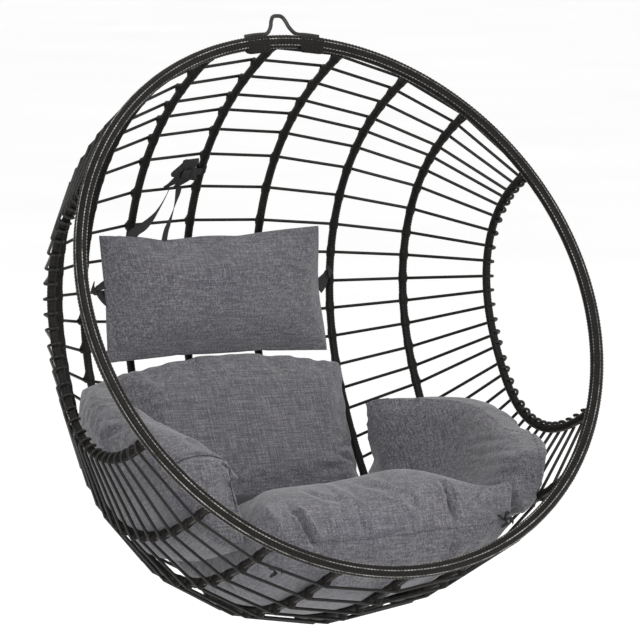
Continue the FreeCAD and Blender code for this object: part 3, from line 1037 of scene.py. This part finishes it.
def stitches(piece, name, corners, body, length=0.0034, gap=0.0026, radius=0.0005):
    """A row of thread stitches along a seam."""
    line = even(surface_line(piece, corners, lift=0.0002), 0.001)
    tree = BVHTree.FromObject(piece, bpy.context.evaluated_depsgraph_get())
    steps = int((length + gap) / 0.001)
    parts = []
    for start in range(0, len(line) - steps, steps):
        run = []
        for k in range(4):
            place, normal, _, _ = tree.find_nearest(Vector(line[start + k]))
            arch = 0.0003 + 0.0005 * math.sin(math.pi * k / 3)
            run.append(np.array(place + normal * arch))
        parts.append(round_tube(run, radius, 5))
    add_piece(name, *join_meshes(parts), SEAM_THREAD_AND_SHADE, body, slot="cushion_fabric")


def pillow_matrix():
    """The pillow's own axes: across, up along its face, and out of its back, in the row frame."""
    across = Vector((1, 0, 0))
    up = Vector((0, -math.sin(PILLOW_LEAN), math.cos(PILLOW_LEAN)))
    back = up.cross(across) * -1
    turn = Matrix((across, back, up)).transposed().to_4x4()
    return HANG @ Matrix.Translation(PILLOW_CENTRE) @ turn


def on_pillow(across, up):
    """A place in the pillow's middle plane, in basket millimetres, from shares of its half sizes."""
    face_up = Vector((0, -math.sin(PILLOW_LEAN), math.cos(PILLOW_LEAN)))
    sideways = Vector((across * PILLOW_SIZE[0] / 2, 0, 0))
    return tuple((PILLOW_CENTRE + sideways + face_up * (up * PILLOW_SIZE[1] / 2)) * 1000)


def head_pillow():
    """Two flat rectangles sewn at their edges and blown up, which gives the pointed corners."""
    columns, rows = 98, 50
    width, height = PILLOW_CUT
    vertices, faces = [], []
    for layer in (-1, 1):
        for row in range(rows + 1):
            for column in range(columns + 1):
                u, v = 2 * column / columns - 1, 2 * row / rows - 1
                y = layer * 0.012 * (1 - u ** 4) * (1 - v ** 4)
                vertices.append((u * width / 2, y, v * height / 2))
    size = (rows + 1) * (columns + 1)
    for row in range(rows):
        for column in range(columns):
            a = row * (columns + 1) + column
            b, c, d = a + 1, a + columns + 2, a + columns + 1
            faces.append((a, b, c, d))
            faces.append((size + d, size + c, size + b, size + a))
    mesh = bpy.data.meshes.new("head_pillow_cover")
    mesh.from_pydata(vertices, [], faces)
    work = bmesh.new()
    work.from_mesh(mesh)
    bmesh.ops.remove_doubles(work, verts=work.verts, dist=1e-5)
    bmesh.ops.recalc_face_normals(work, faces=work.faces)
    work.to_mesh(mesh)
    work.free()
    piece = bpy.data.objects.new("head_pillow_cover", mesh)
    bpy.context.scene.collection.objects.link(piece)
    flat = coordinates(mesh)
    inflate(piece, 3.0, frames=30, stiffness=8.0)
    places = coordinates(piece.data)
    puff = places[:, 1] * PILLOW_DEPTH / max(np.ptp(places[:, 1]), 0.02)
    places = flat * (1 - PILLOW_PULL) + places * PILLOW_PULL
    places *= np.array(PILLOW_SIZE)[[0, 0, 1]] / np.ptp(places, axis=0)[[0, 0, 2]]
    across, up = 2 * places[:, 0] / PILLOW_SIZE[0], 2 * places[:, 2] / PILLOW_SIZE[1]
    places[:, 1] = puff
    places[:, 2] -= rise(up, 0.2, 1.0) * (0.007 * hill(across, -0.38, 0.22) + 0.004 * hill(across, 0.2, 0.4))
    places[:, 0] -= 0.007 * rise(across, 0.4, 1.0) * hill(up, 0.05, 0.6)
    turn = pillow_matrix()
    places = places @ np.array(turn.to_3x3()).T + np.array(turn.translation)
    set_coordinates(piece.data, places)
    subdivide(piece)
    creases(
        piece,
        (5, 6.0, on_pillow(-0.95, 0.7), on_pillow(-0.85, 0.85), on_pillow(-0.7, 0.95)),
        (6, 4.0, on_pillow(-0.95, -0.1), on_pillow(-0.85, -0.2), on_pillow(-0.75, -0.2)),
        (7, 5.0, on_pillow(-0.95, -0.8), on_pillow(-0.85, -0.7), on_pillow(-0.75, -0.6)),
        (6, 3.5, on_pillow(0.95, 0.3), on_pillow(0.8, 0.35), on_pillow(0.65, 0.35)),
    )
    finish_cushion(piece, "head_pillow", ["head_pillow"])


# ---------------------------------------------------------------- ribbons

def ribbon(corners, widths, across, thickness=0.0011, samples=10):
    """A flat ribbon through corners, in basket millimetres. across is the way its width points,
    one for the whole ribbon or one per corner."""
    line = rounded([np.array(corner, float) for corner in corners], samples)
    share = np.linspace(0, 1, len(line))
    at = np.linspace(0, 1, len(widths))
    width = np.interp(share, at, widths)
    ways = np.array(across, float).reshape(-1, 3)
    if len(ways) == 1:
        ways = np.repeat(ways, 2, axis=0)
    at = np.linspace(0, 1, len(ways))
    way = np.stack([np.interp(share, at, ways[:, k]) for k in range(3)], -1)
    way /= np.linalg.norm(way, axis=1, keepdims=True)
    line = np.array(line)
    tangent = np.gradient(line, axis=0)
    face = np.cross(tangent, way)
    face /= np.linalg.norm(face, axis=1, keepdims=True)
    profile = [(-0.5, 0.0), (-0.42, 0.5), (-0.2, 0.62), (0.2, 0.62), (0.42, 0.5), (0.5, 0.0),
               (0.42, -0.5), (0.2, -0.38), (-0.2, -0.38), (-0.42, -0.5)]
    sides = len(profile)
    vertices = []
    for place, w, a, f in zip(line, width, way, face):
        for u, v in profile:
            vertices.append(place + a * (u * w) + f * (v * thickness * 1000))
    faces = []
    for i in range(len(line) - 1):
        for j in range(sides):
            k = (j + 1) % sides
            faces.append((i * sides + j, i * sides + k, (i + 1) * sides + k, (i + 1) * sides + j))
    faces.append(tuple(reversed(range(sides))))
    faces.append(tuple(range((len(line) - 1) * sides, len(line) * sides)))
    return list(hang(np.array(vertices) / 1000)), faces


def pillow_bow():
    """The crumpled bow that is tied round the middle rib: loops, tails and the turn round the rib."""
    above, below = bowl_point(0, 32.5), bowl_point(0, 34.5)
    down = np.array((below - above).normalized())
    outward = np.array((0, -down[2], down[1]))
    right = np.array((1.0, 0, 0))
    centre = node_centre("pillow_bow") + right * -11 - down * 12

    def places(*corners):
        return [centre + right * x - down * up + outward * out for x, up, out in corners]

    parts = [
        ribbon(places((3, -4, 0), (-8, 2, -5), (-19, 8, -8), (-20, 18, -2), (-8, 14, 4), (0, 4, 3)),
               (14, 28, 42, 40, 30, 14), (right * 0.5 - down * 0.8, right * 0.7 - down * 0.6,
                                          right * 0.4 - down)),
        ribbon(places((-3, -3, 0), (0, 8, -5), (2, 24, -7), (5, 33, -1), (6, 18, 5), (2, 0, 3)),
               (14, 32, 36, 30, 30, 14), (right, right - down * 0.2, right - outward * 0.3)),
        ribbon(places((-2, 2, 0), (8, 2, -6), (19, 4, -6), (22, -4, 1), (14, -8, 5), (0, 0, 3)),
               (14, 32, 40, 38, 30, 12), (down, down + right * 0.3, down)),
        ribbon(places((0, 10, -8), (-6, 0, -11), (-3, -12, -8), (3, -13, 3), (3, 0, 8), (0, 10, 3)),
               (18, 16, 18, 18, 14, 16), right),
        ribbon(places((4, 4, -2), (-10, -8, -5), (-22, -22, -2), (-36, -37, 2)),
               (22, 24, 17, 9), (right + down * 0.5, right * 0.8 + down * 0.6)),
        ribbon(places((2, 2, -3), (2, -12, -5), (-6, -24, -2), (-14, -38, 2)),
               (26, 26, 18, 9), (right, right * 0.9 - outward * 0.4)),
    ]
    rib = np.array(bowl_point(0, 33.0)) * 1000
    near, far = outward * 10.5, right * 10.5
    parts.append(ribbon([centre + right * 6, rib - far * 0.6 - near, rib + far - near * 0.6,
                         rib + far + near * 0.6, rib + near * 1.2, rib - far + near * 0.4,
                         rib - far * 1.2 - near * 0.8, centre - right * 4],
                        (16, 15, 15, 15, 15, 14, 14), down))
    piece = add_piece("bow", *join_meshes(parts), RIBBON, slot="ribbon")
    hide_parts("pillow_bow")


def strap(top, foot, slack, widths, across):
    """A strap from the bow down to the pillow's top edge, a little slack, and tucked in behind it."""
    corners = [top + (foot - top) * t - np.array((0, 0, 4 * slack * t * (1 - t)))
               for t in np.linspace(0, 1, 6)]
    return ribbon(corners + [foot + (-10, 8, -32)], widths, across)


def end_tie(side, lift, seams):
    """The knotted tie at one end of the pillow: a band from each place on its seam, and a loop."""
    knot = np.array(on_pillow(side, 0)) + (side * 14, -5, lift)
    bands = []
    for up in seams:
        seam = np.array(on_pillow(side * 0.94, up))
        bend = (seam + knot) / 2 + (side * 3, 0, 0)
        bands.append(ribbon([seam, bend, knot], (26, 21, 14), (-side * 0.5, 0, 0.9)))
    loop = [knot + (side * 6 * math.cos(a), -2, 12 * math.sin(a)) for a in np.linspace(-2.4, 1.8, 5)]
    bands.append(ribbon(loop, (10, 15, 17, 14, 10),
                        ((-side * 0.6, 0.3, 0.8), (0.8, 0.3, 0.3), (0.3, 0, 0.9))))
    return bands


def pillow_straps():
    """The two twisted straps up to the bow and the knotted tie at each end of the pillow."""
    edge_on = (0.5, 0.8, 0.32)
    bow = node_centre("pillow_bow")
    left_foot, right_foot = (np.array(on_pillow(share, 1)) for share in (-0.7, -0.4))
    parts = [
        strap(bow + (-30, 30, -8), left_foot, 15, (9, 8, 12, 15, 19, 20, 20),
              (edge_on, (0.6, 0.4, 0), (0.8, 0, -0.6), (0.8, 0.1, -0.6))),
        strap(bow + (-10, 30, -8), right_foot, 5, (13, 10, 9, 10, 12, 12, 12),
              ((0.9, 0.2, -0.4), edge_on, (0.8, 0.6, -0.3), (0.95, 0, -0.3))),
    ]
    parts += end_tie(-1, 20, (0.25, -0.05)) + end_tie(1, 30, (0.0,))
    piece = add_piece("pillow_straps", *join_meshes(parts), RIBBON, "head_pillow", slot="ribbon")
    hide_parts("pillow_ties")


# ---------------------------------------------------------------- stage

def studio():
    floor_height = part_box("seat_cushion")[0].z - 0.42
    bpy.ops.mesh.primitive_plane_add(size=400, location=(0, 0, floor_height))
    floor = bpy.context.object
    floor.name = "studio_floor"
    shader = Shader("studio_floor", 0.9, 0.1)
    pale = shader.ramp(shader.noise(0.6), (0.3, (0.90, 0.90, 0.90)), (0.7, (0.93, 0.93, 0.93)))
    shader.colour(pale)
    shader.join(pale, shader.surface.inputs["Emission Color"])
    shader.surface.inputs["Emission Strength"].default_value = 0.27
    floor.data.materials.append(shader.material)
    world = bpy.data.worlds.new("studio_world")
    bpy.context.scene.world = world
    world.use_nodes = True
    background = world.node_tree.nodes["Background"]
    background.inputs["Color"].default_value = (1.0, 1.0, 1.0, 1.0)
    background.inputs["Strength"].default_value = 0.8
    for name, place, size, power in (
        ("key", (-3.4, -4.6, 2.4), 2.6, 185),
        ("fill", (3.8, -4.0, 1.2), 3.0, 70),
        ("top", (0.2, 0.4, 3.6), 2.4, 25),
    ):
        light = bpy.data.lights.new(name, "AREA")
        light.shape = "DISK"
        light.size = size
        light.energy = power
        lamp = bpy.data.objects.new(name, light)
        lamp.location = place
        aim = Vector((0, 0.1, -0.6)) - Vector(place)
        lamp.rotation_mode = "QUATERNION"
        lamp.rotation_quaternion = aim.to_track_quat("-Z", "Y")
        bpy.context.scene.collection.objects.link(lamp)


def camera():
    """A long lens from the front left, a little above the middle of the basket."""
    lens = bpy.data.cameras.new("camera")
    lens.lens = 292.4
    lens.sensor_width = 36
    lens.clip_end = 500
    view = bpy.data.objects.new("camera", lens)
    forward = Vector((0.5005, 0.8602, -0.0973))
    view.location = EYE
    view.rotation_mode = "QUATERNION"
    view.rotation_quaternion = forward.to_track_quat("-Z", "Y")
    bpy.context.scene.collection.objects.link(view)
    bpy.context.scene.camera = view
    bpy.context.scene.view_settings.view_transform = "Standard"


# ---------------------------------------------------------------- the whole chair

paint_frame()
ring_windings()
rib_windings()
rib_bindings()
foot_windings()
back_cushion()
seat_cushion()
left_arm_cushion()
right_arm_cushion()
head_pillow()
pillow_bow()
pillow_straps()
studio()
camera()
